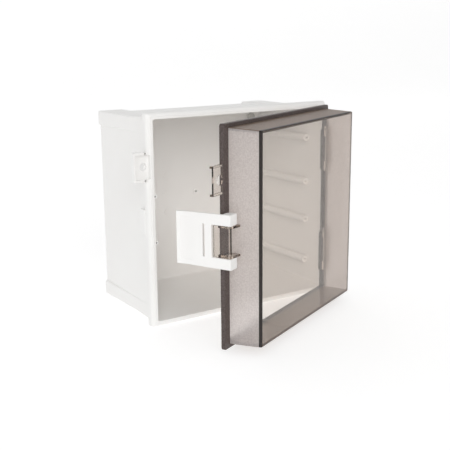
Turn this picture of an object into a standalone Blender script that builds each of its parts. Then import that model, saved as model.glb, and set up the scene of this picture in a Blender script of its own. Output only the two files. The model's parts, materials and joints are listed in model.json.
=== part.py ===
"""Wall enclosure for fire alarm equipment: a white base box with a smoked, domed door.

The door swings on two hinges on the right. A snap latch on its left edge hooks behind a catch
on the base, and an ear on the door meets an ear on the base, so that a padlock holds both.

Frame: metres. X runs to the right, Y from the front to the wall, Z up. The origin is the centre
of the rear face, which goes against the wall. Depths are counted from the front of the lip.
"""
import math

import bmesh
import bpy
from mathutils import Matrix, Vector

MM = 0.001
CLEARANCE = 0.3 * MM                    # kept between neighbouring pieces
OVERLAP = 1 * MM                        # how far joined solids run together, and cutters overrun

# sides of the round shapes, from the smallest to the widest
HOLE_SIDES = 12
PIN_SIDES = 16
ROUND_SIDES = 24
KNUCKLE_SIDES = 28

# ------------------------------------------------------------------ base box
BASE_WIDTH = 217 * MM                   # over the lip
BASE_HEIGHT = 210 * MM                  # over the lip
BASE_DEPTH = 117 * MM                   # from the wall to the front of the lip
SIDE_DRAFT = 2.2 * MM                   # how far each side leans in by the rear
TOP_DRAFT = 4.6 * MM                    # the same, for the top and the bottom
BASE_CORNER_RADIUS = 1.6 * MM
WALL = 2.6 * MM
BACK_WALL = 3 * MM
LIP = 2.4 * MM                          # thinner wall round the mouth
LIP_DEPTH = 16 * MM
LIP_SLOPE = 0.6 * MM                    # depth over which the wall thickens behind it
CAVITY_FILLET = 3 * MM                  # where the back wall meets the sides

COLLAR_PROUD = 4.2 * MM                 # the flange round the mouth
COLLAR_START = 1 * MM
COLLAR_ROUND = 4.5 * MM
COLLAR_END = 9.5 * MM
COLLAR_RADIUS = 2.6 * MM
COLLAR_STEP = 0.4 * MM                  # small step where its front leaves the lip

CORNER_BLOCK_WIDTH = 30 * MM            # undrafted blocks on the four long corners
CORNER_BLOCK_HEIGHT = 15.5 * MM
CORNER_BLOCK_INSET = 2.3 * MM           # below the top and bottom of the lip
CORNER_BLOCK_RADIUS = 2 * MM

POST_HEIGHTS = (67 * MM, 17 * MM, -27 * MM, -75 * MM)
POST_RADIUS = 4 * MM
POST_FROM_CENTRE = 101.8 * MM
POST_DEPTH = 24 * MM                    # how far the posts stop behind the lip
SCREW_CORE_RADIUS = 1.3 * MM
SCREW_CORE_LENGTH = 14 * MM

BACK_BOSS = (10 * MM, 2 * MM)           # a small screw boss on the back wall
BACK_BOSS_RADIUS = 3.2 * MM
BACK_BOSS_HEIGHT = 1.4 * MM
BACK_BOSS_BORE = 1.5 * MM
KNOCKOUTS = ((-28 * MM, 24 * MM), (-28 * MM, 3 * MM), (-28 * MM, -18 * MM))
KNOCKOUT_RADIUS = 4.2 * MM
KNOCKOUT_HEIGHT = 0.5 * MM
RIM_HOLES = (27 * MM, -20 * MM)         # pin holes in bosses inside the lip's left edge
RIM_HOLE_INSIDE = 0.8 * MM
RIM_HOLE_RADIUS = 1.2 * MM
RIM_HOLE_DEPTH = 5 * MM
RIM_BOSS_RADIUS = 2.1 * MM
RIM_BOSS_START = 0.5 * MM
RIM_BOSS_END = 9 * MM

WALL_HOLE_X = 90 * MM                   # wall fixing holes, near the four corners
WALL_HOLE_Z = 84 * MM
WALL_HOLE_RADIUS = 2.6 * MM
PLUG_HEAD_RADIUS = 5 * MM
PLUG_HEAD_HEIGHT = 2.2 * MM
PLUG_STEM_LENGTH = 2.2 * MM

# --------------------------------------------------------------- padlock ears
EAR_Z = 56.5 * MM
EAR_HOLE_X = -115.2 * MM                # the padlock goes through both ears here
BASE_EAR_HEIGHT = 29.4 * MM
BASE_EAR_REACH = 18.2 * MM              # outwards from the side of the lip
BASE_EAR_WALL = 1.8 * MM
BASE_EAR_END_WALL = 2.6 * MM            # above and below its pocket
BASE_EAR_POCKET_ROOT = 0.8 * MM         # the pocket starts this far outside the lip
BASE_EAR_POCKET_RADIUS = 1 * MM
BASE_EAR_START = 2.2 * MM
BASE_EAR_POCKET = 5.4 * MM              # depth of the floor of the pocket in its front
BASE_EAR_END = 7.6 * MM
BASE_EAR_RADIUS = 2 * MM
BASE_EAR_HOLE_RADIUS = 4 * MM
EAR_CORE_RADIUS = 1.2 * MM
EAR_CORE_FROM_LIP = 5.9 * MM
DOOR_EAR_HEIGHT = 26.8 * MM
DOOR_EAR_OUTER = -126 * MM
DOOR_EAR_BEHIND_FRONT = 1 * MM          # its face, behind the front of the flange
DOOR_EAR_THICKNESS = 1.7 * MM
DOOR_EAR_HOLE_RADIUS = 4.8 * MM
DOOR_EAR_RIB = 1.8 * MM
DOOR_EAR_RADIUS = 1 * MM
DOOR_EAR_RIB_SET_BACK = 0.6 * MM

# ---------------------------------------------------------------------- catch
CATCH_PROUD = 4.4 * MM
CATCH_START = 6 * MM
CATCH_END = 20 * MM
CATCH_HALF_HEIGHT = 12.5 * MM
CATCH_RAMP = 3.5 * MM

# ----------------------------------------------------------------------- door
DOOR_GAP = 0.8 * MM                     # flange to lip when closed; the seal fills it
DOOR_LEFT = -110.2 * MM                 # edges of the flange
DOOR_RIGHT = 108.7 * MM
DOOR_HEIGHT = 211.2 * MM
FLANGE_THICKNESS = 4.9 * MM
FLANGE_CORNER_RADIUS = 1.8 * MM
FLANGE_CHAMFER = 0.6 * MM
DOME_HALF_WIDTH = 102 * MM              # where it meets the flange
DOME_HALF_HEIGHT = 101.8 * MM
DOME_DEPTH = 32.6 * MM                  # in front of the flange
DOME_SIDE_DRAFT = 2.8 * MM
DOME_TOP_DRAFT = 1.6 * MM
DOME_WALL = 2.6 * MM
DOME_EDGE_RADIUS = 1.2 * MM
DOME_INNER_RADIUS = 0.6 * MM
DOOR_OPEN_ANGLE = math.radians(24.8)     # the pose the model is stored in

SEAL_LEFT = -108.3 * MM                 # outer edges of the seal, closer in beside the hinges
SEAL_RIGHT = 106.9 * MM
SEAL_HALF_HEIGHT = 104.6 * MM
SEAL_WIDTH = 2.3 * MM
SEAL_GROOVE_DEPTH = 1.5 * MM
SEAL_RADIUS = 2.2 * MM

# --------------------------------------------------------------------- hinges
HINGE_X = 110.2 * MM
HINGE_BEHIND_FRONT = 1.4 * MM           # axis behind the front of the flange
HINGE_HEIGHTS = {"upper": 57.5 * MM, "lower": -57.5 * MM}
KNUCKLE_RADIUS = 3.8 * MM
HINGE_HALF_LENGTH = 25 * MM
BRACKET_HALF_LENGTH = 13 * MM
KNUCKLE_GAP = 0.6 * MM
PIN_RADIUS = 1.5 * MM
PIN_BORE_RADIUS = 1.8 * MM
BRACKET_THICKNESS = 2.8 * MM
BRACKET_PAD_START = 10.1 * MM
BRACKET_PAD_END = 20.5 * MM
BRACKET_CHAMFER = 1.5 * MM
PIN_INSET = 0.4 * MM                    # its ends, inside the ends of the door's knuckles
HINGE_SCREW_SPACING = 15 * MM
HINGE_SCREW_DEPTH = 15.3 * MM
HINGE_SCREW_RADIUS = 1.2 * MM
HINGE_SCREW_HOLE = 1.6 * MM
HINGE_SCREW_HEAD_RADIUS = 2.9 * MM
HINGE_SCREW_HEAD_HEIGHT = 1.7 * MM
HINGE_SCREW_REACH = 1.7 * MM            # its point, inside the side of the box
HINGE_SCREW_HOLE_END = 1.9 * MM         # a blind hole, so that nothing shows inside
RECESS_DEPTH = 0.9 * MM                 # the cross in its head
RECESS_ARM = (1.6 * MM, 0.35 * MM)
HINGE_PAD_HALF_HEIGHT = 22 * MM
HINGE_PAD_WIDTH = 3 * MM
HINGE_PAD_DEPTH = 5.5 * MM
HINGE_PAD_IN_WALL = 0.5 * MM            # it runs this far into the dome's side wall
NOTCH_CLEARANCE = 0.7 * MM              # round the bracket's knuckle

# ---------------------------------------------------------------------- latch
LATCH_OUTER_X = -115.6 * MM
LATCH_THICKNESS = 2.4 * MM
LATCH_CORNER_RADIUS = 0.8 * MM
LATCH_HALF_HEIGHT = 25.5 * MM
LATCH_END_HALF_HEIGHT = 25 * MM
LATCH_END = 41 * MM                     # depth of the finger end, closed
LATCH_FLARE = 1.8 * MM
LATCH_FLARE_LENGTH = 9 * MM
LATCH_MOUTH_END = 4.8 * MM              # depth where the U of the lever closes
LATCH_SLOT = (12.1 * MM, 14.3 * MM)
LATCH_SLOT_HALF_HEIGHT = 15.4 * MM
LATCH_PANEL = (25.5 * MM, 38.5 * MM)    # shallow finger panel in the outer face
LATCH_PANEL_HALF_HEIGHT = 20 * MM
LATCH_PANEL_DEPTH = 0.4 * MM
LATCH_PANEL_RADIUS = 0.3 * MM
LATCH_ARM_THICKNESS = 9 * MM
LATCH_ARM_SWEEP = 6.4 * MM              # the arms' furthest corner, from the pivot
LATCH_PIVOT_X = -108.4 * MM
LATCH_STOP_ANGLE = math.radians(85)      # where the arms' inner faces meet the flange
LATCH_HOOK = (20.9 * MM, 24.6 * MM)
LATCH_HOOK_REACH = 3.8 * MM
LATCH_HOOK_HALF_HEIGHT = 11.5 * MM
LATCH_HOOK_TIP = 1.2 * MM
LATCH_OPEN_ANGLE = math.radians(2)      # the pose the model is stored in
BRIDGE_HALF_HEIGHT = 14.8 * MM          # the smoked bridge that carries the lever
BRIDGE_RIB = 2.2 * MM
BRIDGE_PLATE = 2.6 * MM
BRIDGE_END = 3.2 * MM
BRIDGE_GUSSET = 2.2 * MM                # its ribs reach this much further forward at the dome
BRIDGE_INSET = 0.3 * MM                 # inside the lever's outer face and front
BRIDGE_IN_DOME = 1.5 * MM               # how far its ribs run into the dome's wall
BRIDGE_IN_FLANGE = 1.3 * MM
LATCH_PIN_INSET = 0.4 * MM              # its outer end, inside the lever's arm
LATCH_PIN_PAST_RIB = 0.8 * MM

# -------------------------------------------------------------- derived places
FRONT = -BASE_DEPTH                     # Y of the lip's front
HALF_WIDTH = BASE_WIDTH / 2
HALF_HEIGHT = BASE_HEIGHT / 2
FLANGE_BACK = FRONT - DOOR_GAP
FLANGE_FRONT = FLANGE_BACK - FLANGE_THICKNESS
HINGE_Y = FLANGE_FRONT + HINGE_BEHIND_FRONT
HINGE_POINT = Vector((HINGE_X, HINGE_Y, 0))
BRACKET_OUTER_X = HALF_WIDTH + COLLAR_PROUD + BRACKET_THICKNESS + 0.5 * MM
LATCH_ARM_BACK = FLANGE_FRONT - 1.3 * CLEARANCE
LATCH_PIVOT = Vector((LATCH_PIVOT_X, LATCH_ARM_BACK - LATCH_ARM_THICKNESS / 2, 0))
LATCH_FRONT = LATCH_ARM_BACK - LATCH_ARM_THICKNESS
ARM_INNER_Z = BRIDGE_HALF_HEIGHT + 0.5 * MM

MATERIALS = {
    "white_plastic": ((0.80, 0.80, 0.78, 1.0), 0.42, 0.0),
    "smoked_plastic": ((0.17, 0.13, 0.11, 0.45), 0.12, 0.0),
    "seal_rubber": ((0.62, 0.60, 0.57, 1.0), 0.75, 0.0),
    "steel": ((0.62, 0.62, 0.61, 1.0), 0.30, 1.0),
    "plug_plastic": ((0.70, 0.70, 0.68, 1.0), 0.50, 0.0),
}


def clear_scene():
    """Remove every object, so that the script gives the same result in any file."""
    for old in list(bpy.data.objects):
        bpy.data.objects.remove(old, do_unlink=True)


def get_material(name):
    """Return the named Principled material, made on first use."""
    material = bpy.data.materials.get(name)
    if material is None:
        colour, roughness, metallic = MATERIALS[name]
        material = bpy.data.materials.new(name)
        material.use_nodes = True
        shader = material.node_tree.nodes["Principled BSDF"]
        shader.inputs["Base Color"].default_value = colour
        shader.inputs["Alpha"].default_value = colour[3]
        shader.inputs["Roughness"].default_value = roughness
        shader.inputs["Metallic"].default_value = metallic
    return material


# ------------------------------------------------------------- building blocks
def make_object(name, mesh_builder):
    """Turn a bmesh into a linked object with its faces pointing out."""
    bmesh.ops.recalc_face_normals(mesh_builder, faces=mesh_builder.faces)
    mesh = bpy.data.meshes.new(name)
    mesh_builder.to_mesh(mesh)
    mesh_builder.free()
    obj = bpy.data.objects.new(name, mesh)
    bpy.context.scene.collection.objects.link(obj)
    return obj


def loft(name, rings):
    """Closed solid through rings of points, all with the same number of points."""
    builder = bmesh.new()
    rows = [[builder.verts.new(point) for point in ring] for ring in rings]
    count = len(rows[0])
    for near, far in zip(rows, rows[1:]):
        for i in range(count):
            j = (i + 1) % count
            builder.faces.new((near[i], near[j], far[j], far[i]))
    builder.faces.new(rows[0])
    builder.faces.new(rows[-1])
    return make_object(name, builder)


def box(name, low, high):
    """Axis-aligned box between two corners."""
    (x0, y0, z0), (x1, y1, z1) = low, high
    ring = [(x0, z0), (x1, z0), (x1, z1), (x0, z1)]
    return loft(name, [[(x, y, z) for x, z in ring] for y in (y0, y1)])


def rounded_rectangle(half_width, half_height, radius, steps=3):
    """Outline about the origin, anticlockwise, with arcs at the corners."""
    points = []
    for quarter, (sx, sz) in enumerate(((1, 1), (-1, 1), (-1, -1), (1, -1))):
        for k in range(steps + 1):
            angle = math.pi / 2 * (quarter + k / steps)
            points.append((sx * (half_width - radius) + radius * math.cos(angle),
                           sz * (half_height - radius) + radius * math.sin(angle)))
    return points


def ring_at(y, half_width, half_height, radius, centre=(0, 0), steps=3):
    """A rounded rectangle in the plane at y."""
    outline = rounded_rectangle(half_width, half_height, radius, steps)
    return [(centre[0] + x, y, centre[1] + z) for x, z in outline]


def cylinder(name, axis, centre, radius, low, high, sides=ROUND_SIDES):
    """Cylinder along an axis (0, 1 or 2) from low to high, through the point centre."""
    first, second = [i for i in range(3) if i != axis]
    rings = []
    for end in (low, high):
        ring = []
        for k in range(sides):
            angle = 2 * math.pi * k / sides
            point = [0, 0, 0]
            point[axis] = end
            point[first] = centre[first] + radius * math.cos(angle)
            point[second] = centre[second] + radius * math.sin(angle)
            ring.append(tuple(point))
        rings.append(ring)
    return loft(name, rings)


def extrude_plan(name, outline, low, high):
    """Upright prism: an outline in X and Y, extruded from low to high in Z."""
    return loft(name, [[(x, y, z) for x, y in outline] for z in (low, high)])


def combine(target, tools, operation):
    """Join tools to the target, or cut them out of it, and remove them."""
    for tool in tools:
        modifier = target.modifiers.new("combine", "BOOLEAN")
        modifier.operation = operation
        modifier.solver = "EXACT"
        modifier.object = tool
        bpy.context.view_layer.update()
        evaluated = target.evaluated_get(bpy.context.evaluated_depsgraph_get())
        result = bpy.data.meshes.new_from_object(evaluated)
        target.modifiers.clear()
        target.data = result
        bpy.data.objects.remove(tool, do_unlink=True)
    return target


def add(target, *tools):
    return combine(target, tools, "UNION")


def cut(target, *tools):
    return combine(target, tools, "DIFFERENCE")


def finish(obj, material_name, pivot=None, parent=None):
    """Give the object its material and shading, and hang it on its joint if it has one."""
    mesh = obj.data
    mesh.name = obj.name
    mesh.materials.clear()
    mesh.materials.append(get_material(material_name))
    mesh.shade_smooth()
    mesh.set_sharp_from_angle(angle=math.radians(30))
    if pivot is not None:
        mesh.transform(Matrix.Translation(-pivot))
        obj.parent = parent
    return obj


def make_pivot(name, point, angle, parent=None, parent_point=None):
    """Empty on a joint's axis, turned about it to the stored pose."""
    empty = bpy.data.objects.new(name, None)
    bpy.context.scene.collection.objects.link(empty)
    empty.parent = parent
    empty.location = point - parent_point if parent is not None else point
    empty.rotation_euler = (0, 0, angle)
    return empty


# ------------------------------------------------------------------- base box
def base_outline(depth):
    """Half width and half height of the drafted walls at a depth behind the lip."""
    share = depth / BASE_DEPTH
    return HALF_WIDTH - SIDE_DRAFT * share, HALF_HEIGHT - TOP_DRAFT * share


def base_ring(depth, offset, radius=BASE_CORNER_RADIUS):
    """Ring that follows the drafted walls, offset outwards."""
    half_width, half_height = base_outline(depth)
    return ring_at(FRONT + depth, half_width + offset, half_height + offset, radius)


def make_collar():
    """Flange round the mouth, with a rounded front and a square rear edge."""
    steps = 4
    rings = [base_ring(COLLAR_START, -OVERLAP, COLLAR_RADIUS)]
    for k in range(steps + 1):
        angle = math.pi / 2 * k / steps
        depth = COLLAR_START + COLLAR_ROUND * (1 - math.cos(angle))
        proud = COLLAR_STEP + (COLLAR_PROUD - COLLAR_STEP) * math.sin(angle)
        rings.append(base_ring(depth, proud, COLLAR_RADIUS))
    rings.append(base_ring(COLLAR_END, COLLAR_PROUD, COLLAR_RADIUS))
    rings.append(base_ring(COLLAR_END, -OVERLAP, COLLAR_RADIUS))
    return loft("collar", rings)


def make_corner_blocks():
    """Undrafted blocks, which stand proud at the rear and fade out towards the front."""
    blocks = []
    half_x = CORNER_BLOCK_WIDTH / 2
    half_z = CORNER_BLOCK_HEIGHT / 2
    for side in (-1, 1):
        for top in (-1, 1):
            centre = (side * (HALF_WIDTH - half_x),
                      top * (HALF_HEIGHT - CORNER_BLOCK_INSET - half_z))
            rings = [ring_at(y, half_x, half_z, CORNER_BLOCK_RADIUS, centre)
                     for y in (FRONT + COLLAR_END - OVERLAP, 0)]
            blocks.append(loft("corner_block", rings))
    return blocks


def make_cavity():
    """Inside of the box, wider in its front stretch, with a fillet round the back wall."""
    back_depth = BASE_DEPTH - BACK_WALL
    third = CAVITY_FILLET / 3
    steps = ((-OVERLAP, LIP), (LIP_DEPTH, LIP), (LIP_DEPTH + LIP_SLOPE, WALL),
             (back_depth - CAVITY_FILLET, WALL), (back_depth - third, WALL + third),
             (back_depth, WALL + CAVITY_FILLET))
    return loft("cavity", [base_ring(depth, -inset) for depth, inset in steps])


def add_posts(base):
    """Screw posts along both side walls, for whatever is mounted in the box."""
    front = FRONT + POST_DEPTH
    for side in (-1, 1):
        for height in POST_HEIGHTS:
            centre = (side * POST_FROM_CENTRE, 0, height)
            add(base, cylinder("post", 1, centre, POST_RADIUS, front, -BACK_WALL / 2, PIN_SIDES))
            cut(base, cylinder("post_core", 1, centre, SCREW_CORE_RADIUS,
                               front - OVERLAP, front + SCREW_CORE_LENGTH, HOLE_SIDES))


def add_back_wall_details(base):
    """A boss and round knock-outs on the back wall, and the four holes for the wall screws."""
    face = -BACK_WALL
    x, z = BACK_BOSS
    add(base, cylinder("boss", 1, (x, 0, z), BACK_BOSS_RADIUS,
                       face - BACK_BOSS_HEIGHT, face / 2, ROUND_SIDES))
    cut(base, cylinder("boss_bore", 1, (x, 0, z), BACK_BOSS_BORE,
                       face - BACK_BOSS_HEIGHT - OVERLAP, face / 3, HOLE_SIDES))
    for x, z in KNOCKOUTS:
        add(base, cylinder("knockout", 1, (x, 0, z), KNOCKOUT_RADIUS,
                           face - KNOCKOUT_HEIGHT, face / 2, ROUND_SIDES))
    for x, z in wall_hole_places():
        cut(base, cylinder("wall_hole", 1, (x, 0, z), WALL_HOLE_RADIUS,
                           face - OVERLAP, OVERLAP, PIN_SIDES))


def wall_hole_places():
    return [(sx * WALL_HOLE_X, sz * WALL_HOLE_Z) for sx in (-1, 1) for sz in (-1, 1)]


def make_catch():
    """Ledge on the left side, with sloping ends, that the latch hooks behind."""
    outer = -(HALF_WIDTH + CATCH_PROUD)
    inner = -(HALF_WIDTH - OVERLAP)
    start = FRONT + CATCH_START
    end = FRONT + CATCH_END
    outline = [(inner, start), (inner, end), (outer, end), (outer, start + CATCH_RAMP)]
    return extrude_plan("catch", outline, -CATCH_HALF_HEIGHT, CATCH_HALF_HEIGHT)


def add_base_ear(base):
    """Ear with a hollow front, behind the door's ear when the door is closed."""
    outer = -(HALF_WIDTH + BASE_EAR_REACH)
    root = -(HALF_WIDTH - LIP / 2)
    centre = ((outer + root) / 2, EAR_Z)
    half_x = (root - outer) / 2
    half_z = BASE_EAR_HEIGHT / 2
    add(base, loft("ear", [ring_at(FRONT + depth, half_x, half_z, BASE_EAR_RADIUS, centre)
                           for depth in (BASE_EAR_START, BASE_EAR_END)]))
    pocket_root = -(HALF_WIDTH + BASE_EAR_POCKET_ROOT)
    pocket_outer = outer + BASE_EAR_WALL
    pocket_centre = ((pocket_outer + pocket_root) / 2, EAR_Z)
    pocket_half_x = (pocket_root - pocket_outer) / 2
    cut(base, loft("ear_pocket", [ring_at(FRONT + depth, pocket_half_x, half_z - BASE_EAR_END_WALL,
                                          BASE_EAR_POCKET_RADIUS, pocket_centre)
                                  for depth in (-OVERLAP, BASE_EAR_POCKET)]))
    cut(base, cylinder("ear_hole", 1, (EAR_HOLE_X, 0, EAR_Z), BASE_EAR_HOLE_RADIUS,
                       FRONT, FRONT + BASE_EAR_END + OVERLAP))
    for side in (-1, 1):
        height = EAR_Z + side * (half_z - BASE_EAR_END_WALL / 2)
        cut(base, cylinder("ear_core", 1, (-(HALF_WIDTH + EAR_CORE_FROM_LIP), 0, height),
                           EAR_CORE_RADIUS, FRONT, FRONT + BASE_EAR_POCKET, HOLE_SIDES))


def add_rim_bosses(base):
    """Two small bosses with pin holes, on the inside of the lip's left edge."""
    x = RIM_HOLE_INSIDE - (HALF_WIDTH - LIP)
    front = FRONT + RIM_BOSS_START
    for z in RIM_HOLES:
        add(base, cylinder("rim_boss", 1, (x, 0, z), RIM_BOSS_RADIUS,
                           front, FRONT + RIM_BOSS_END, PIN_SIDES))
        cut(base, cylinder("rim_hole", 1, (x, 0, z), RIM_HOLE_RADIUS,
                           front - OVERLAP, front + RIM_HOLE_DEPTH, HOLE_SIDES))


def make_base_box():
    base = loft("base_box", [base_ring(0, 0), base_ring(BASE_DEPTH, 0)])
    add(base, *make_corner_blocks())
    add(base, make_collar(), make_catch())
    cut(base, make_cavity())
    add_posts(base)
    add_back_wall_details(base)
    add_base_ear(base)
    add_rim_bosses(base)
    for height in HINGE_HEIGHTS.values():
        for z in hinge_screw_heights(height):
            cut(base, cylinder("screw_hole", 0, (0, FRONT + HINGE_SCREW_DEPTH, z), HINGE_SCREW_HOLE,
                               HALF_WIDTH - HINGE_SCREW_HOLE_END, HALF_WIDTH + OVERLAP, HOLE_SIDES))
    return finish(base, "white_plastic")


def make_wall_plugs():
    """Caps that close the four wall holes from the inside."""
    for x, z in wall_hole_places():
        name = f"mount_plug_{'upper' if z > 0 else 'lower'}_{'left' if x < 0 else 'right'}"
        face = -BACK_WALL - CLEARANCE
        plug = cylinder(name, 1, (x, 0, z), PLUG_HEAD_RADIUS,
                        face - PLUG_HEAD_HEIGHT, face, ROUND_SIDES)
        add(plug, cylinder("stem", 1, (x, 0, z), WALL_HOLE_RADIUS - CLEARANCE,
                           face - OVERLAP, face + PLUG_STEM_LENGTH, PIN_SIDES))
        finish(plug, "plug_plastic")


# --------------------------------------------------------------------- hinges
def hinge_screw_heights(height):
    return (height + HINGE_SCREW_SPACING / 2, height - HINGE_SCREW_SPACING / 2)


def make_hinge_bracket(name, height):
    """Knuckle on an arm that reaches round the collar to a pad on the side wall."""
    low = height - BRACKET_HALF_LENGTH
    high = height + BRACKET_HALF_LENGTH
    plate_inner = BRACKET_OUTER_X - BRACKET_THICKNESS
    pad_inner = HALF_WIDTH + CLEARANCE
    arm_front = HINGE_Y + KNUCKLE_RADIUS - BRACKET_THICKNESS
    arm_back = HINGE_Y + KNUCKLE_RADIUS
    pad_start = FRONT + BRACKET_PAD_START
    pad_end = FRONT + BRACKET_PAD_END
    bracket = extrude_plan(name, [
        (HINGE_X, arm_front), (BRACKET_OUTER_X, arm_front),
        (BRACKET_OUTER_X, pad_end - BRACKET_CHAMFER), (BRACKET_OUTER_X - BRACKET_CHAMFER, pad_end),
        (pad_inner, pad_end), (pad_inner, pad_start), (plate_inner, pad_start),
        (plate_inner, arm_back), (HINGE_X, arm_back),
    ], low, high)
    add(bracket, cylinder("knuckle", 2, HINGE_POINT, KNUCKLE_RADIUS, low, high, KNUCKLE_SIDES))
    cut(bracket, cylinder("bore", 2, HINGE_POINT, PIN_BORE_RADIUS,
                          low - OVERLAP, high + OVERLAP, PIN_SIDES))
    for z in hinge_screw_heights(height):
        cut(bracket, cylinder("screw_hole", 0, (0, FRONT + HINGE_SCREW_DEPTH, z), HINGE_SCREW_HOLE,
                              pad_inner - OVERLAP, BRACKET_OUTER_X + OVERLAP, HOLE_SIDES))
    finish(bracket, "smoked_plastic")


def make_hinge_screw(name, height):
    """Pan-head screw with a cross recess, through the bracket's pad into the side wall."""
    depth = FRONT + HINGE_SCREW_DEPTH
    head_base = BRACKET_OUTER_X + CLEARANCE
    head_top = head_base + HINGE_SCREW_HEAD_HEIGHT

    def disc(x, radius):
        angles = [2 * math.pi * k / ROUND_SIDES for k in range(ROUND_SIDES)]
        return [(x, depth + radius * math.cos(a), height + radius * math.sin(a)) for a in angles]

    screw = loft(name, [
        disc(HALF_WIDTH - HINGE_SCREW_REACH, HINGE_SCREW_RADIUS / 2),
        disc(HALF_WIDTH - HINGE_SCREW_REACH + HINGE_SCREW_RADIUS, HINGE_SCREW_RADIUS),
        disc(head_base, HINGE_SCREW_RADIUS),
        disc(head_base, HINGE_SCREW_HEAD_RADIUS),
        disc(head_base + 0.6 * HINGE_SCREW_HEAD_HEIGHT, HINGE_SCREW_HEAD_RADIUS),
        disc(head_top, HINGE_SCREW_HEAD_RADIUS * 0.6),
    ])
    floor = head_top - RECESS_DEPTH
    for half_y, half_z in (RECESS_ARM, RECESS_ARM[::-1]):
        cut(screw, box("recess", (floor, depth - half_y, height - half_z),
                       (head_top + OVERLAP, depth + half_y, height + half_z)))
    finish(screw, "steel")


def make_hinges():
    """Brackets, pins and screws of both hinges."""
    for place, height in HINGE_HEIGHTS.items():
        make_hinge_bracket(f"hinge_bracket_{place}", height)
        half = HINGE_HALF_LENGTH - PIN_INSET
        finish(cylinder(f"hinge_pin_{place}", 2, HINGE_POINT, PIN_RADIUS,
                        height - half, height + half, PIN_SIDES), "steel")
        for label, z in zip("ab", hinge_screw_heights(height)):
            make_hinge_screw(f"hinge_screw_{place}_{label}", z)


# ----------------------------------------------------------------------- door
def make_flange():
    """Flat border of the door, a little wider on the latch side."""
    half_width = (DOOR_RIGHT - DOOR_LEFT) / 2
    half_height = DOOR_HEIGHT / 2
    centre = ((DOOR_RIGHT + DOOR_LEFT) / 2, 0)
    steps = ((FLANGE_BACK, FLANGE_CHAMFER), (FLANGE_BACK - FLANGE_CHAMFER, 0),
             (FLANGE_FRONT + FLANGE_CHAMFER, 0), (FLANGE_FRONT, FLANGE_CHAMFER))
    return loft("door_cover", [
        ring_at(y, half_width - inset, half_height - inset, FLANGE_CORNER_RADIUS, centre)
        for y, inset in steps])


def dome_ring(depth, inset, radius):
    """Ring of the drafted dome, at a depth in front of the flange."""
    share = depth / DOME_DEPTH
    half_width = DOME_HALF_WIDTH - DOME_SIDE_DRAFT * share - inset
    half_height = DOME_HALF_HEIGHT - DOME_TOP_DRAFT * share - inset
    return ring_at(FLANGE_FRONT - depth, half_width, half_height, radius)


def make_dome():
    """Outer solid of the dome, with small rounds on its edges."""
    radius = DOME_EDGE_RADIUS
    rings = [dome_ring(-OVERLAP, 0, radius)]
    steps = 3
    for k in range(steps + 1):
        angle = math.pi / 2 * k / steps
        depth = DOME_DEPTH - radius * (1 - math.sin(angle))
        inset = radius * (1 - math.cos(angle))
        rings.append(dome_ring(depth, inset, radius))
    return loft("dome", rings)


def make_dome_cavity():
    """Inside of the dome, open through the flange."""
    behind = -(FLANGE_THICKNESS + OVERLAP)
    return loft("dome_cavity", [dome_ring(behind, DOME_WALL, DOME_INNER_RADIUS),
                                dome_ring(DOME_DEPTH - DOME_WALL, DOME_WALL, DOME_INNER_RADIUS)])


def seal_rings(outset, low, high):
    """Outer and inner solids of a rectangular band round the flange's back."""
    half_width = (SEAL_RIGHT - SEAL_LEFT) / 2 + outset
    half_height = SEAL_HALF_HEIGHT + outset
    width = SEAL_WIDTH + 2 * outset
    centre = ((SEAL_RIGHT + SEAL_LEFT) / 2, 0)
    outer = loft("band", [ring_at(y, half_width, half_height, SEAL_RADIUS, centre)
                          for y in (low, high)])
    inner = loft("band_inside", [ring_at(y, half_width - width, half_height - width,
                                         SEAL_RADIUS / 2, centre)
                                 for y in (low - OVERLAP, high + OVERLAP)])
    return outer, inner


def make_door_seal(pivot):
    """Rubber band in the groove on the flange's back; the lip presses into it."""
    low = FLANGE_BACK - SEAL_GROOVE_DEPTH + CLEARANCE
    high = FRONT - CLEARANCE
    seal, inside = seal_rings(0, low, high)
    cut(seal, inside)
    seal.name = "door_seal"
    return finish(seal, "seal_rubber", HINGE_POINT, pivot)


def add_door_ear(door):
    """Thin ear with a padlock hole, stiffened by a rib along its top and its bottom."""
    half_z = DOOR_EAR_HEIGHT / 2
    root = DOOR_LEFT + 2 * OVERLAP
    front = FLANGE_FRONT + DOOR_EAR_BEHIND_FRONT
    back = front + DOOR_EAR_THICKNESS
    centre = ((DOOR_EAR_OUTER + root) / 2, EAR_Z)
    half_x = (root - DOOR_EAR_OUTER) / 2
    add(door, loft("ear", [ring_at(y, half_x, half_z, DOOR_EAR_RADIUS, centre)
                           for y in (front, back)]))
    for side in (-1, 1):
        edge = EAR_Z + side * half_z
        low, high = sorted((edge, edge - side * DOOR_EAR_RIB))
        add(door, box("ear_rib", (DOOR_EAR_OUTER, front + DOOR_EAR_RIB_SET_BACK, low),
                      (DOOR_LEFT + OVERLAP, FLANGE_BACK, high)))
    cut(door, cylinder("ear_hole", 1, (EAR_HOLE_X, 0, EAR_Z), DOOR_EAR_HOLE_RADIUS,
                       front - OVERLAP, back + OVERLAP))


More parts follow.
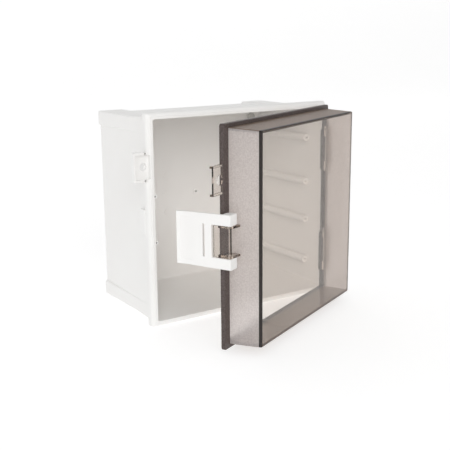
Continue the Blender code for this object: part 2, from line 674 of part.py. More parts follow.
def add_latch_bridge(door):
    """Bridge from the dome round the flange's edge: two ribs joined by an outer plate."""
    dome_side = -(DOME_HALF_WIDTH - BRIDGE_IN_DOME)
    outer = LATCH_OUTER_X + BRIDGE_INSET
    plate_inner = outer + BRIDGE_PLATE
    edge = DOOR_LEFT + BRIDGE_IN_FLANGE
    front = LATCH_FRONT + BRIDGE_INSET
    outline = [
        (dome_side, FLANGE_FRONT + OVERLAP), (dome_side, front - BRIDGE_GUSSET), (outer, front),
        (outer, FRONT + BRIDGE_END), (plate_inner, FRONT + BRIDGE_END),
        (plate_inner, FLANGE_BACK - CLEARANCE), (edge, FLANGE_BACK - CLEARANCE),
        (edge, FLANGE_FRONT + OVERLAP),
    ]
    for side in (-1, 1):
        low, high = sorted((side * BRIDGE_HALF_HEIGHT, side * (BRIDGE_HALF_HEIGHT - BRIDGE_RIB)))
        add(door, extrude_plan("bridge_rib", outline, low, high))
    add(door, box("bridge_plate", (outer, front, -BRIDGE_HALF_HEIGHT + OVERLAP),
                  (plate_inner, FRONT + BRIDGE_END, BRIDGE_HALF_HEIGHT - OVERLAP)))
    cut(door, cylinder("latch_bore", 2, LATCH_PIVOT, PIN_BORE_RADIUS,
                       -BRIDGE_HALF_HEIGHT - OVERLAP, BRIDGE_HALF_HEIGHT + OVERLAP, PIN_SIDES))


def add_door_hinges(door):
    """Notches for the brackets, two knuckles a side, and a thicker pad beside each hinge."""
    pad_outer = DOME_HALF_WIDTH - DOME_WALL + HINGE_PAD_IN_WALL
    notch_x = HINGE_X - KNUCKLE_RADIUS - NOTCH_CLEARANCE
    for height in HINGE_HEIGHTS.values():
        half = BRACKET_HALF_LENGTH + KNUCKLE_GAP
        add(door, box("hinge_pad",
                      (pad_outer - HINGE_PAD_WIDTH, FLANGE_BACK - HINGE_PAD_DEPTH,
                       height - HINGE_PAD_HALF_HEIGHT),
                      (pad_outer, FLANGE_BACK, height + HINGE_PAD_HALF_HEIGHT)))
        for side in (-1, 1):
            low, high = sorted((height + side * half, height + side * HINGE_HALF_LENGTH))
            add(door, cylinder("knuckle", 2, HINGE_POINT, KNUCKLE_RADIUS, low, high, KNUCKLE_SIDES))
        cut(door, box("notch", (notch_x, HINGE_Y - 2 * KNUCKLE_RADIUS, height - half),
                      (HINGE_X + 2 * KNUCKLE_RADIUS, HINGE_Y + 2 * KNUCKLE_RADIUS, height + half)))
        reach = HINGE_HALF_LENGTH + OVERLAP
        cut(door, cylinder("bore", 2, HINGE_POINT, PIN_BORE_RADIUS,
                           height - reach, height + reach, PIN_SIDES))


def make_door_cover(pivot):
    """The smoked moulding: flange, dome, knuckles, padlock ear and latch bridge."""
    door = make_flange()
    add(door, make_dome())
    cut(door, make_dome_cavity())
    add_door_hinges(door)
    add_door_ear(door)
    add_latch_bridge(door)
    groove, inside = seal_rings(CLEARANCE, FLANGE_BACK - SEAL_GROOVE_DEPTH, FLANGE_BACK + OVERLAP)
    cut(groove, inside)
    cut(door, groove)
    return finish(door, "smoked_plastic", HINGE_POINT, pivot)


# ---------------------------------------------------------------------- latch
def latch_section(depth, half_thickness, half_height, radius, shift=0):
    """Upright section of the lever's plate, which flares out towards its finger end."""
    share = max(0, depth - LATCH_END + LATCH_FLARE_LENGTH) / LATCH_FLARE_LENGTH
    centre = (LATCH_OUTER_X + shift - LATCH_FLARE * share ** 2, 0)
    return ring_at(FRONT + depth, half_thickness, half_height, radius, centre, steps=2)


def make_latch_plate():
    """Outer plate of the lever, a little lower at its finger end."""
    depths = [LATCH_FRONT - FRONT, LATCH_MOUTH_END]
    flare_steps = 4
    for k in range(flare_steps + 1):
        depths.append(LATCH_END - LATCH_FLARE_LENGTH * (1 - k / flare_steps))
    rings = []
    for depth in depths:
        taper = max(0, depth - LATCH_MOUTH_END) / (LATCH_END - LATCH_MOUTH_END)
        half_height = LATCH_HALF_HEIGHT + (LATCH_END_HALF_HEIGHT - LATCH_HALF_HEIGHT) * taper
        rings.append(latch_section(depth, LATCH_THICKNESS / 2, half_height,
                                   LATCH_CORNER_RADIUS, LATCH_THICKNESS / 2))
    return loft("latch_lever", rings)


def make_latch_panel():
    """Cutter for the shallow panel under the finger, which follows the flare."""
    start, end = LATCH_PANEL
    steps = 4
    depths = [start + (end - start) * k / steps for k in range(steps + 1)]
    return loft("panel", [latch_section(depth, LATCH_PANEL_DEPTH, LATCH_PANEL_HALF_HEIGHT,
                                        LATCH_PANEL_RADIUS) for depth in depths])


def make_latch_arm(side):
    """Flap at the end of one arm of the U. It turns beside the dome and stops flat on the flange."""
    half = LATCH_ARM_THICKNESS / 2
    root = LATCH_OUTER_X + LATCH_THICKNESS / 4
    corner = math.sqrt(LATCH_ARM_SWEEP ** 2 - half ** 2)
    heel = math.asin(half / LATCH_ARM_SWEEP) - LATCH_STOP_ANGLE
    outline = [(root, LATCH_FRONT), (LATCH_PIVOT.x + corner, LATCH_FRONT),
               (LATCH_PIVOT.x + LATCH_ARM_SWEEP * math.cos(heel),
                LATCH_PIVOT.y + LATCH_ARM_SWEEP * math.sin(heel))]
    toe = math.pi / 2 - LATCH_STOP_ANGLE
    steps = 5
    for k in range(steps + 1):
        angle = toe + (math.pi / 2 - toe) * k / steps
        outline.append((LATCH_PIVOT.x + half * math.cos(angle), LATCH_PIVOT.y + half * math.sin(angle)))
    outline.append((root, LATCH_ARM_BACK))
    low, high = sorted((side * ARM_INNER_Z, side * LATCH_HALF_HEIGHT))
    return extrude_plan("arm", outline, low, high)


def make_latch_hook():
    """Rib inside the lever that hooks behind the catch, with a sloping back."""
    inner = LATCH_OUTER_X + LATCH_THICKNESS
    start, end = (FRONT + depth for depth in LATCH_HOOK)
    outline = [(inner - OVERLAP, start), (inner + LATCH_HOOK_REACH, start),
               (inner + LATCH_HOOK_REACH, start + LATCH_HOOK_TIP),
               (inner, end), (inner - OVERLAP, end)]
    return extrude_plan("hook", outline, -LATCH_HOOK_HALF_HEIGHT, LATCH_HOOK_HALF_HEIGHT)


def make_latch(pivot):
    """The white U-shaped lever and the two pins that it turns on."""
    lever = make_latch_plate()
    thick = LATCH_THICKNESS + 2 * OVERLAP
    cut(lever, box("mouth", (LATCH_OUTER_X - OVERLAP, LATCH_FRONT - OVERLAP, -ARM_INNER_Z),
                   (LATCH_OUTER_X + thick, FRONT + LATCH_MOUTH_END, ARM_INNER_Z)))
    add(lever, make_latch_arm(1), make_latch_arm(-1), make_latch_hook())
    cut(lever, make_latch_panel())
    cut(lever, box("slot", (LATCH_OUTER_X - OVERLAP, FRONT + LATCH_SLOT[0], -LATCH_SLOT_HALF_HEIGHT),
                   (LATCH_OUTER_X + thick, FRONT + LATCH_SLOT[1], LATCH_SLOT_HALF_HEIGHT)))
    cut(lever, cylinder("bore", 2, LATCH_PIVOT, PIN_BORE_RADIUS,
                        -LATCH_HALF_HEIGHT - OVERLAP, LATCH_HALF_HEIGHT + OVERLAP, PIN_SIDES))
    finish(lever, "white_plastic", LATCH_PIVOT, pivot)
    for place, side in (("upper", 1), ("lower", -1)):
        low, high = sorted((side * (BRIDGE_HALF_HEIGHT - BRIDGE_RIB - LATCH_PIN_PAST_RIB),
                            side * (LATCH_HALF_HEIGHT - LATCH_PIN_INSET)))
        pin = cylinder(f"latch_pin_{place}", 2, LATCH_PIVOT, PIN_RADIUS, low, high, PIN_SIDES)
        finish(pin, "steel", LATCH_PIVOT, pivot)


def main():
    clear_scene()
    make_base_box()
    make_wall_plugs()
    make_hinges()
    door_pivot = make_pivot("door_axis", HINGE_POINT, DOOR_OPEN_ANGLE)
    make_door_cover(door_pivot)
    make_door_seal(door_pivot)
    latch_pivot = make_pivot("latch_axis", LATCH_PIVOT, LATCH_OPEN_ANGLE, door_pivot, HINGE_POINT)
    make_latch(latch_pivot)


main()
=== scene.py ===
"""Looks of the hinged wall enclosure: moulded white base, smoked door, latch, seal and hinges."""

import json
import math

import bmesh
import bpy
from mathutils import Matrix, Vector


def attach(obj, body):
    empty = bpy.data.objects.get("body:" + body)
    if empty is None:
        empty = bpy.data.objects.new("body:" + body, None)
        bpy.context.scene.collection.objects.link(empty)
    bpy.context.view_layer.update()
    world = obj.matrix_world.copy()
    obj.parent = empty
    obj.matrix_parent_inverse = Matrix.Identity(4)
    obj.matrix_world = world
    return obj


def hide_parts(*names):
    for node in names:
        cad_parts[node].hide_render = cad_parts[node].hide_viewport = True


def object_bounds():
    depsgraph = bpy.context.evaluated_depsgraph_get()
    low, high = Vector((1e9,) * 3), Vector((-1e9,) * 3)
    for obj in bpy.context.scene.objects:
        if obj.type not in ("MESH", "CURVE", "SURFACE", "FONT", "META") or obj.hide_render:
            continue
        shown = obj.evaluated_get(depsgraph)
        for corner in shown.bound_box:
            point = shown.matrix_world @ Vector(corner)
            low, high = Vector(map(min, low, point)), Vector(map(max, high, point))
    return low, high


MM = 0.001

# camera, in the frame's own axes
CAMERA_PLACE = Vector((-0.48474, -0.81402, 0.18368))
CAMERA_YAW = math.radians(33.48)        # to the right of straight on
CAMERA_PITCH = math.radians(-13.23)
CAMERA_ROLL = math.radians(-0.53)
CAMERA_LENS = 65.6
CAMERA_SENSOR = 36.0

# the door's layout when closed, for the zones of its finish and of its painted shade
DOME_DEPTH = 32.6 * MM                  # dome in front of the flange
FLANGE_THICKNESS = 4.9 * MM
FLANGE_LEFT = -110.2 * MM
FLANGE_RIGHT = 108.7 * MM
FLANGE_HALF_HEIGHT = 105.6 * MM
DOME_HALF_HEIGHT = 99 * MM              # every side wall of the dome is beyond this and the next
DOME_HALF_WIDTH = 98 * MM

RIM_WIDTH = 3.0 * MM                    # the rounded edge round the pane, coloured dark as painted shade
ZONE_SLACK = 0.5 * MM                   # a zone's corners may miss its limits by this much
ACROSS = 0.5                            # a normal with more than this of an axis faces along it
RIM_NORMAL = (-0.97, 0.02)              # from almost facing the front to facing sideways

# meshes
FLAT_ANGLE = math.radians(0.4)          # faces closer in angle than this are one flat face
MERGE_DISTANCE = 0.002 * MM
CUT_DISTANCE = 0.001 * MM
EDGE_ANGLE = math.radians(28)           # sharper edges than this are rounded
BEVEL_SEGMENTS = 2
LARGE_FACE_WEIGHT = 100                 # large faces set the shading of their corners
BOX_EDGE = 0.35 * MM                    # widths of the rounded edges
CLEAR_EDGE = 0.3 * MM
SOFT_EDGE = 0.4 * MM
PIN_EDGE = 0.3 * MM
SCREW_EDGE = 0.15 * MM

# opaque plastics: lighter and darker colour, and middle roughness
WHITE_COLOURS = ((0.90, 0.895, 0.88, 1), (0.885, 0.875, 0.86, 1))
WHITE_ROUGHNESS = 0.42
PLUG_COLOURS = ((0.62, 0.62, 0.60, 1), (0.56, 0.56, 0.54, 1))
PLUG_ROUGHNESS = 0.5
POLISHED_BY = 0.05                      # how much handling and the mould vary the roughness
DULLED_BY = 0.06
PLASTIC_GLOSS = 0.45

# smoked plastic: each tint, and each painted shade, runs from the darker to the lighter colour of its
# speckle
CLEAR_TINT = (0.95, 0.93, 0.915, 1)
ETCHED_TINT = ((0.58, 0.53, 0.52, 1), (0.74, 0.69, 0.675, 1))
# painted shade: the top and bottom walls of the dome are coloured darker than the sides
CROWN_PAINTED_SHADE = ((0.15, 0.088, 0.056, 1), (0.30, 0.205, 0.145, 1))
# painted shade: the flange is coloured near black
FLANGE_PAINTED_SHADE = ((0.050, 0.036, 0.032, 1), (0.11, 0.085, 0.08, 1))
# painted shade: a near-black line round the pane, where its edge looks dark
RIM_PAINTED_SHADE = ((0.008, 0.005, 0.004, 1), (0.020, 0.014, 0.012, 1))
LAMP_TINT = (0.95, 0.94, 0.93, 1)
REFRACTION = 1.45
ETCHED_ROUGHNESS = 0.42
SMEAR_ROUGHNESS = (0.02, 0.05)
FROST_OPACITY = 0.5
FLANGE_OPACITY = 0.9                    # of the flange and of the rim, which are both coloured dark as painted shade
ABSORPTION_COLOUR = (0.62, 0.50, 0.39, 1)
ABSORPTION_DENSITY = 90.0

# seal, zinc and floor
SEAL_COLOURS = ((0.40, 0.39, 0.37, 1), (0.52, 0.51, 0.48, 1))
SEAL_ROUGHNESS = (0.65, 0.85)
ZINC_COLOURS = ((0.50, 0.50, 0.49, 1), (0.68, 0.67, 0.64, 1))
ZINC_ROUGHNESS = (0.22, 0.42)
FLOOR_COLOURS = ((0.52, 0.52, 0.52, 1), (0.54, 0.54, 0.54, 1))
FLOOR_ROUGHNESS = 0.9
FLOOR_GLOW = 0.60                       # keeps the paper white under a soft light

# studio, in metres and watts
AIR_STRENGTH = 0.54
KEY_PLACE = (-0.9, -2.1, 1.15)
KEY_TARGET = (0, -0.1, 0)
KEY_SIZE = (1.5, 1.5)
KEY_POWER = 23
FLOOR_GAP = 0.3 * MM                    # below the object, so that the two don't touch
FLOOR_HALF_WIDTH = 4.0
FLOOR_FRONT = -3.0
FLOOR_BACK = 1.6                        # where the paper starts to curve up
FLOOR_BEND = 0.6
FLOOR_RISE = 2.5
FLOOR_STEPS = 12

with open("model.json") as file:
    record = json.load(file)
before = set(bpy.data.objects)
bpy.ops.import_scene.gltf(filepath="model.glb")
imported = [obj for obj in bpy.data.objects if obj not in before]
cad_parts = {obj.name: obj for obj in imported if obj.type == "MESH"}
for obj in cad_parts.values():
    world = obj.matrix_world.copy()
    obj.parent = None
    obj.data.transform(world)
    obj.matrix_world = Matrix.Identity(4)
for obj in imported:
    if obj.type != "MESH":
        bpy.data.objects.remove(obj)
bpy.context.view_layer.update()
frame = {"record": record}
hinge = next(j for j in frame["record"]["behaviour"]["joints"] if j["name"] == "door_hinge")
DOOR_AXIS = Vector(hinge["pos_m"])
DOOR_SWING = math.radians(-hinge["range_deg"][0])   # how far the door stands open at rest


# -------------------------------------------------------------------- geometry
def copy_of_node(node):
    """A new object with the node's mesh, its flat faces merged into single polygons."""
    source = bpy.data.objects[node]
    builder = bmesh.new()
    builder.from_mesh(source.data)
    bmesh.ops.remove_doubles(builder, verts=builder.verts, dist=MERGE_DISTANCE)
    bmesh.ops.dissolve_limit(builder, angle_limit=FLAT_ANGLE, use_dissolve_boundaries=False,
                             verts=builder.verts, edges=builder.edges)
    mesh = bpy.data.meshes.new(f"{node}_skin")
    builder.to_mesh(mesh)
    builder.free()
    piece = bpy.data.objects.new(f"{node}_skin", mesh)
    bpy.context.scene.collection.objects.link(piece)
    return piece


def round_edges(piece, width, clear):
    """Round the sharp edges with a bevel, and keep the flat faces flat in the shading.

    A clear piece is flat shaded, because smooth shading would bend what is seen through it.
    """
    bevel = piece.modifiers.new("rounded_edges", "BEVEL")
    bevel.width = width
    bevel.segments = BEVEL_SEGMENTS
    bevel.limit_method = "ANGLE"
    bevel.angle_limit = EDGE_ANGLE
    bevel.miter_outer = "MITER_ARC"
    if clear:
        piece.data.shade_flat()
    else:
        flatten = piece.modifiers.new("flat_faces", "WEIGHTED_NORMAL")
        flatten.weight = LARGE_FACE_WEIGHT
        piece.data.shade_smooth()
    return piece


def apply_modifiers(piece):
    """Turn the piece's modifiers into plain geometry."""
    evaluated = piece.evaluated_get(bpy.context.evaluated_depsgraph_get())
    mesh = bpy.data.meshes.new_from_object(evaluated)
    piece.modifiers.clear()
    piece.data = mesh


def closed_place(point):
    """Where a point of the open door lies when the door is closed."""
    return Matrix.Rotation(-DOOR_SWING, 3, "Z") @ (point - DOOR_AXIS) + DOOR_AXIS


def split_mesh(mesh, depth):
    """Add an edge loop round the door, parallel to its pane."""
    turn = Matrix.Rotation(DOOR_SWING, 3, "Z")
    builder = bmesh.new()
    builder.from_mesh(mesh)
    point = turn @ (Vector((0, depth, 0)) - DOOR_AXIS) + DOOR_AXIS
    bmesh.ops.bisect_plane(builder, geom=builder.verts[:] + builder.edges[:] + builder.faces[:],
                           plane_co=point, plane_no=turn @ Vector((0, 1, 0)), dist=CUT_DISTANCE)
    builder.to_mesh(mesh)
    builder.free()


def mark_door_faces(piece):
    """Write the zones of the door's finish and painted shade to its faces, as attributes of 0 or 1.

    frost is the etched outside of the dome's walls, shaded_crown the top and the bottom of these,
    shaded_flange the flange, and shaded_rim the edge round the pane; the last three are coloured dark as
    painted shade.
    """
    mesh = piece.data
    front = min(closed_place(vertex.co).y for vertex in mesh.vertices)
    split_mesh(mesh, front + RIM_WIDTH)
    places = [closed_place(vertex.co) for vertex in mesh.vertices]
    flange_front = front + DOME_DEPTH
    flange_back = flange_front + FLANGE_THICKNESS
    unturn = Matrix.Rotation(-DOOR_SWING, 3, "Z")

    def within_flange(place):
        return (FLANGE_LEFT - ZONE_SLACK < place.x < FLANGE_RIGHT + ZONE_SLACK
                and abs(place.z) < FLANGE_HALF_HEIGHT + ZONE_SLACK)

    def beside_dome(place):
        return abs(place.x) > DOME_HALF_WIDTH or abs(place.z) > DOME_HALF_HEIGHT

    # painted shade: the crown, the flange and the rim are marked here to be coloured dark
    frost, shaded_crown, shaded_flange, shaded_rim = (mesh.attributes.new(name, "FLOAT", "FACE")
                               for name in ("frost", "shaded_crown", "shaded_flange", "shaded_rim"))
    for face in mesh.polygons:
        corners = [places[i] for i in face.vertices]
        normal = unturn @ face.normal
        centre = closed_place(face.center)
        outwards = centre.x * normal.x + centre.z * normal.z > 0
        beside = all(beside_dome(p) for p in corners)
        inside = all(within_flange(p) for p in corners)
        of_flange = all(flange_front - ZONE_SLACK < p.y < flange_back + ZONE_SLACK for p in corners)
        of_dome = all(p.y < flange_front + ZONE_SLACK for p in corners)
        upright = abs(normal.y) < ACROSS
        etched = beside and inside and of_dome and outwards and upright and not of_flange
        level = all(abs(p.z) > DOME_HALF_HEIGHT for p in corners) and abs(normal.z) > ACROSS
        at_front = all(p.y < front + RIM_WIDTH + ZONE_SLACK / 2 for p in corners)
        sideways = outwards and RIM_NORMAL[0] < normal.y < RIM_NORMAL[1]
        at_rim = at_front and inside and beside and sideways
        shaded_rim.data[face.index].value = float(at_rim)
        frost.data[face.index].value = float(etched and not at_rim)
        shaded_crown.data[face.index].value = float(etched and level)
        shaded_flange.data[face.index].value = float(beside and inside and of_flange and normal.y < ACROSS)


def refine(node, body, slot, material, width):
    """Replace a CAD node by a copy of itself with rounded edges."""
    piece = round_edges(copy_of_node(node), width, slot == "smoked_plastic")
    piece.data.materials.clear()
    piece.data.materials.append(material)
    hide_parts(node)
    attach(piece, body)
    return piece


# ------------------------------------------------------------------- materials
class Nodes:
    """Small helper that adds and links shader nodes of one material."""

    def __init__(self, name):
        self.material = bpy.data.materials.new(name)
        self.material.use_nodes = True
        self.tree = self.material.node_tree
        self.shader = self.tree.nodes["Principled BSDF"]
        self.output = self.tree.nodes["Material Output"]
        self.place = self.add("ShaderNodeTexCoord").outputs["Object"]

    def add(self, kind, **settings):
        node = self.tree.nodes.new(kind)
        for key, value in settings.items():
            setattr(node, key, value)
        return node

    def link(self, source, target):
        self.tree.links.new(source, target)

    def noise(self, size, detail=3.0, roughness=0.5, stretch=(1, 1, 1)):
        """Noise with features of about this size, in metres."""
        mapping = self.add("ShaderNodeMapping")
        mapping.inputs["Scale"].default_value = stretch
        self.link(self.place, mapping.inputs["Vector"])
        noise = self.add("ShaderNodeTexNoise")
        noise.inputs["Scale"].default_value = 1 / size
        noise.inputs["Detail"].default_value = detail
        noise.inputs["Roughness"].default_value = roughness
        self.link(mapping.outputs["Vector"], noise.inputs["Vector"])
        return noise.outputs["Fac"]

    def spread(self, value, low, high, from_low=0.3, from_high=0.7):
        """Map a value to a range."""
        node = self.add("ShaderNodeMapRange")
        node.inputs["From Min"].default_value = from_low
        node.inputs["From Max"].default_value = from_high
        node.inputs["To Min"].default_value = low
        node.inputs["To Max"].default_value = high
        self.link(value, node.inputs["Value"])
        return node.outputs["Result"]

    def mix(self, factor, colours):
        """From the first of two plain colours to the second, by a factor from 0 to 1."""
        node = self.add("ShaderNodeMix", data_type="RGBA")
        self.link(factor, node.inputs["Factor"])
        node.inputs["A"].default_value, node.inputs["B"].default_value = colours
        return node.outputs["Result"]

    def blend(self, factor, first, second):
        """Mix of two colours, of which the first may be plain and the second is linked."""
        node = self.add("ShaderNodeMix", data_type="RGBA")
        self.link(factor, node.inputs["Factor"])
        if isinstance(first, tuple):
            node.inputs["A"].default_value = first
        else:
            self.link(first, node.inputs["A"])
        self.link(second, node.inputs["B"])
        return node.outputs["Result"]

    def lerp(self, factor, first, second):
        """From a linked value to a plain one."""
        node = self.add("ShaderNodeMix", data_type="FLOAT")
        self.link(factor, node.inputs["Factor"])
        self.link(first, node.inputs["A"])
        node.inputs["B"].default_value = second
        return node.outputs["Result"]

    def math(self, operation, first, second):
        """Sum or product of two linked values."""
        node = self.add("ShaderNodeMath", operation=operation)
        self.link(first, node.inputs[0])
        self.link(second, node.inputs[1])
        return node.outputs["Value"]

    def total(self, first, second):
        return self.math("ADD", first, second)

    def scaled(self, value, share):
        """A linked value times a plain one."""
        node = self.add("ShaderNodeMath", operation="MULTIPLY")
        self.link(value, node.inputs[0])
        node.inputs[1].default_value = share
        return node.outputs["Value"]

    def difference(self, start, value):
        """A plain value less a linked one."""
        node = self.add("ShaderNodeMath", operation="SUBTRACT")
        node.inputs[0].default_value = start
        self.link(value, node.inputs[1])
        return node.outputs["Value"]

    def product(self, first, second):
        return self.math("MULTIPLY", first, second)

    def bump(self, height, strength, distance):
        """Raise and lower the shader's surface by this distance, in metres."""
        node = self.add("ShaderNodeBump")
        node.inputs["Strength"].default_value = strength
        node.inputs["Distance"].default_value = distance
        self.link(height, node.inputs["Height"])
        self.link(node.outputs["Normal"], self.shader.inputs["Normal"])


def moulded_plastic(name, colours, roughness):
    """Opaque moulded plastic: fine etched texture, slow colour drift and uneven gloss."""
    nodes = Nodes(name)
    shader = nodes.shader
    light, dark = colours
    drift = nodes.noise(40 * MM, detail=2.0)
    nodes.link(nodes.mix(nodes.spread(drift, 0, 1), (dark, light)), shader.inputs["Base Color"])
    handling = nodes.noise(9 * MM, detail=5.0, roughness=0.6)
    uneven = nodes.spread(handling, roughness - POLISHED_BY, roughness + DULLED_BY)
    nodes.link(uneven, shader.inputs["Roughness"])
    shader.inputs["Specular IOR Level"].default_value = PLASTIC_GLOSS
    nodes.bump(nodes.noise(0.5 * MM, detail=2.0), 0.12, 0.05 * MM)
    return nodes.material


def mark_tints_and_shade(nodes, smears, speckle):
    """Colour, painted shade, roughness, clearness and grain of the marked zones of the door."""
    shader = nodes.shader
    frost, shaded_crown, shaded_flange, shaded_rim = (
        nodes.add("ShaderNodeAttribute", attribute_name=name).outputs["Fac"]
        for name in ("frost", "shaded_crown", "shaded_flange", "shaded_rim"))
    tint_and_shade = CLEAR_TINT
    # painted shade: the crown, flange and rim colours darken these zones in place of shade; only the
    # clear and etched tints are the plastic's own
    for zone, tints_and_shades in ((frost, ETCHED_TINT), (shaded_crown, CROWN_PAINTED_SHADE), (shaded_flange, FLANGE_PAINTED_SHADE), (shaded_rim, RIM_PAINTED_SHADE)):
        tint_and_shade = nodes.blend(zone, tint_and_shade, nodes.mix(speckle, tints_and_shades))
    nodes.link(tint_and_shade, shader.inputs["Base Color"])
    etched = nodes.total(frost, shaded_flange)
    rough = nodes.total(etched, shaded_rim)
    nodes.link(nodes.lerp(rough, smears, ETCHED_ROUGHNESS), shader.inputs["Roughness"])
    solid = nodes.total(nodes.scaled(frost, FROST_OPACITY),
                        nodes.scaled(nodes.total(shaded_flange, shaded_rim), FLANGE_OPACITY))
    nodes.link(nodes.difference(1.0, solid), shader.inputs["Transmission Weight"])
    nodes.bump(nodes.product(etched, speckle), 0.35, 0.10 * MM)


def smoked_plastic(name, marked):
    """Clear brown plastic that darkens with the thickness looked through.

    A marked piece has the door's zones: etched sides, a rim coloured dark as painted shade, top and
    bottom walls coloured darker as painted shade, and a grainy flange coloured near black as painted
    shade.
    """
    nodes = Nodes(name)
    shader = nodes.shader
    shader.inputs["IOR"].default_value = REFRACTION
    smears = nodes.spread(nodes.noise(14 * MM, detail=4.0), *SMEAR_ROUGHNESS)
    if marked:
        speckle = nodes.spread(nodes.noise(1.6 * MM, detail=4.0, roughness=0.75), 0, 1, 0.38, 0.62)
        mark_tints_and_shade(nodes, smears, speckle)
    else:
        shader.inputs["Transmission Weight"].default_value = 1.0
        shader.inputs["Base Color"].default_value = CLEAR_TINT
        nodes.link(smears, shader.inputs["Roughness"])
    let_lamps_through(nodes)
    absorption = nodes.add("ShaderNodeVolumeAbsorption")
    absorption.inputs["Color"].default_value = ABSORPTION_COLOUR
    absorption.inputs["Density"].default_value = ABSORPTION_DENSITY
    nodes.link(absorption.outputs["Volume"], nodes.output.inputs["Volume"])
    return nodes.material


def let_lamps_through(nodes):
    """Lamps shine through the plastic, so that what is behind it isn't in black shadow."""
    pane = nodes.add("ShaderNodeBsdfTransparent")
    pane.inputs["Color"].default_value = LAMP_TINT
    path = nodes.add("ShaderNodeLightPath")
    either = nodes.add("ShaderNodeMixShader")
    nodes.link(path.outputs["Is Shadow Ray"], either.inputs["Fac"])
    nodes.link(nodes.shader.outputs["BSDF"], either.inputs[1])
    nodes.link(pane.outputs["BSDF"], either.inputs[2])
    nodes.link(either.outputs["Shader"], nodes.output.inputs["Surface"])


def seal_rubber():
    """Soft, matt rubber with a slow drift in colour."""
    nodes = Nodes("seal_rubber_look")
    drift = nodes.spread(nodes.noise(12 * MM), 0, 1)
    nodes.link(nodes.mix(drift, SEAL_COLOURS), nodes.shader.inputs["Base Color"])
    nodes.link(nodes.spread(nodes.noise(2 * MM), *SEAL_ROUGHNESS), nodes.shader.inputs["Roughness"])
    nodes.bump(nodes.noise(0.4 * MM), 0.3, 0.05 * MM)
    return nodes.material


def zinc_plate():
    """Zinc on steel, with fine marks round the turned pieces."""
    nodes = Nodes("zinc_plate_look")
    nodes.shader.inputs["Metallic"].default_value = 1.0
    drift = nodes.spread(nodes.noise(3 * MM), 0, 1)
    nodes.link(nodes.mix(drift, ZINC_COLOURS), nodes.shader.inputs["Base Color"])
    nodes.link(nodes.spread(nodes.noise(0.8 * MM), *ZINC_ROUGHNESS), nodes.shader.inputs["Roughness"])
    nodes.bump(nodes.noise(0.3 * MM, stretch=(1, 1, 6)), 0.15, 0.02 * MM)
    return nodes.material


def floor_paper():
    """White paper that glows a little."""
    nodes = Nodes("floor_paper")
    nodes.link(nodes.mix(nodes.noise(0.4), FLOOR_COLOURS), nodes.shader.inputs["Base Color"])
    nodes.shader.inputs["Roughness"].default_value = FLOOR_ROUGHNESS
    nodes.shader.inputs["Emission Color"].default_value = (1, 1, 1, 1)
    nodes.shader.inputs["Emission Strength"].default_value = FLOOR_GLOW
    return nodes.material


# --------------------------------------------------------------------- studio
def make_camera():
    """Camera at the angle that the object is judged from."""
    camera_data = bpy.data.cameras.new("photo_view")
    camera_data.lens = CAMERA_LENS
    camera_data.sensor_width = CAMERA_SENSOR
    camera = bpy.data.objects.new("photo_view", camera_data)
    turn = (Matrix.Rotation(-CAMERA_YAW, 4, "Z")
            @ Matrix.Rotation(math.pi / 2 + CAMERA_PITCH, 4, "X")
            @ Matrix.Rotation(CAMERA_ROLL, 4, "Z"))
    camera.matrix_world = Matrix.Translation(CAMERA_PLACE) @ turn
    bpy.context.scene.collection.objects.link(camera)
    bpy.context.scene.camera = camera


def make_key_light():
    """One large soft lamp, in front and above."""
    light_data = bpy.data.lights.new("key", "AREA")
    light_data.shape = "RECTANGLE"
    light_data.size, light_data.size_y = KEY_SIZE
    light_data.energy = KEY_POWER
    light = bpy.data.objects.new("key", light_data)
    light.location = KEY_PLACE
    aim = Vector(KEY_TARGET) - Vector(KEY_PLACE)
    light.rotation_euler = aim.to_track_quat("-Z", "Y").to_euler()
    bpy.context.scene.collection.objects.link(light)


def make_world():
    """Even white light from all round."""
    world = bpy.data.worlds.new("studio_air")
    world.use_nodes = True
    background = world.node_tree.nodes["Background"]
    background.inputs["Color"].default_value = (1.0, 1.0, 1.0, 1)
    background.inputs["Strength"].default_value = AIR_STRENGTH
    bpy.context.scene.world = world


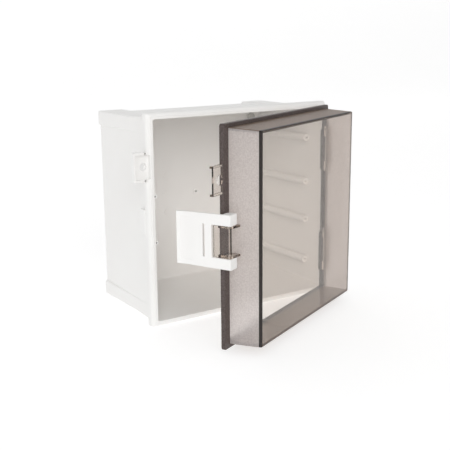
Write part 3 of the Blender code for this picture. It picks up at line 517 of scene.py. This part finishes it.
def make_floor():
    """A large sheet of paper that curves up behind the object."""
    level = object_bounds()[0][2] - FLOOR_GAP
    profile = [(FLOOR_FRONT, level), (FLOOR_BACK, level)]
    for k in range(1, FLOOR_STEPS + 1):
        angle = math.pi / 2 * k / FLOOR_STEPS
        profile.append((FLOOR_BACK + FLOOR_BEND * math.sin(angle),
                        level + FLOOR_BEND * (1 - math.cos(angle))))
    profile.append((FLOOR_BACK + FLOOR_BEND, level + FLOOR_RISE))
    builder = bmesh.new()
    rows = [[builder.verts.new((x, y, z)) for y, z in profile]
            for x in (-FLOOR_HALF_WIDTH, FLOOR_HALF_WIDTH)]
    for i in range(len(profile) - 1):
        builder.faces.new((rows[0][i], rows[1][i], rows[1][i + 1], rows[0][i + 1]))
    mesh = bpy.data.meshes.new("floor")
    builder.to_mesh(mesh)
    builder.free()
    mesh.shade_smooth()
    mesh.materials.append(floor_paper())
    floor = bpy.data.objects.new("floor", mesh)
    bpy.context.scene.collection.objects.link(floor)


WHITE = moulded_plastic("white_plastic_look", WHITE_COLOURS, WHITE_ROUGHNESS)
PLUG = moulded_plastic("plug_plastic_look", PLUG_COLOURS, PLUG_ROUGHNESS)
SMOKED = smoked_plastic("smoked_plastic_look", False)
SMOKED_DOOR = smoked_plastic("smoked_door_look", True)
SEAL = seal_rubber()
ZINC = zinc_plate()

refine("base_box", "base", "white_plastic", WHITE, BOX_EDGE)
door_skin = refine("door_cover", "door", "smoked_plastic", SMOKED_DOOR, CLEAR_EDGE)
apply_modifiers(door_skin)
mark_door_faces(door_skin)
refine("latch_lever", "latch", "white_plastic", WHITE, SOFT_EDGE)
refine("door_seal", "door", "seal_rubber", SEAL, SOFT_EDGE)
for place in ("upper", "lower"):
    refine(f"hinge_bracket_{place}", "base", "smoked_plastic", SMOKED, CLEAR_EDGE)
    refine(f"hinge_pin_{place}", "base", "steel", ZINC, PIN_EDGE)
    refine(f"latch_pin_{place}", "latch", "steel", ZINC, PIN_EDGE)
    for label in "ab":
        refine(f"hinge_screw_{place}_{label}", "base", "steel", ZINC, SCREW_EDGE)
    for side in ("left", "right"):
        refine(f"mount_plug_{place}_{side}", "base", "plug_plastic", PLUG, SOFT_EDGE)

make_camera()
make_floor()
make_world()
make_key_light()
bpy.context.scene.view_settings.view_transform = "Standard"
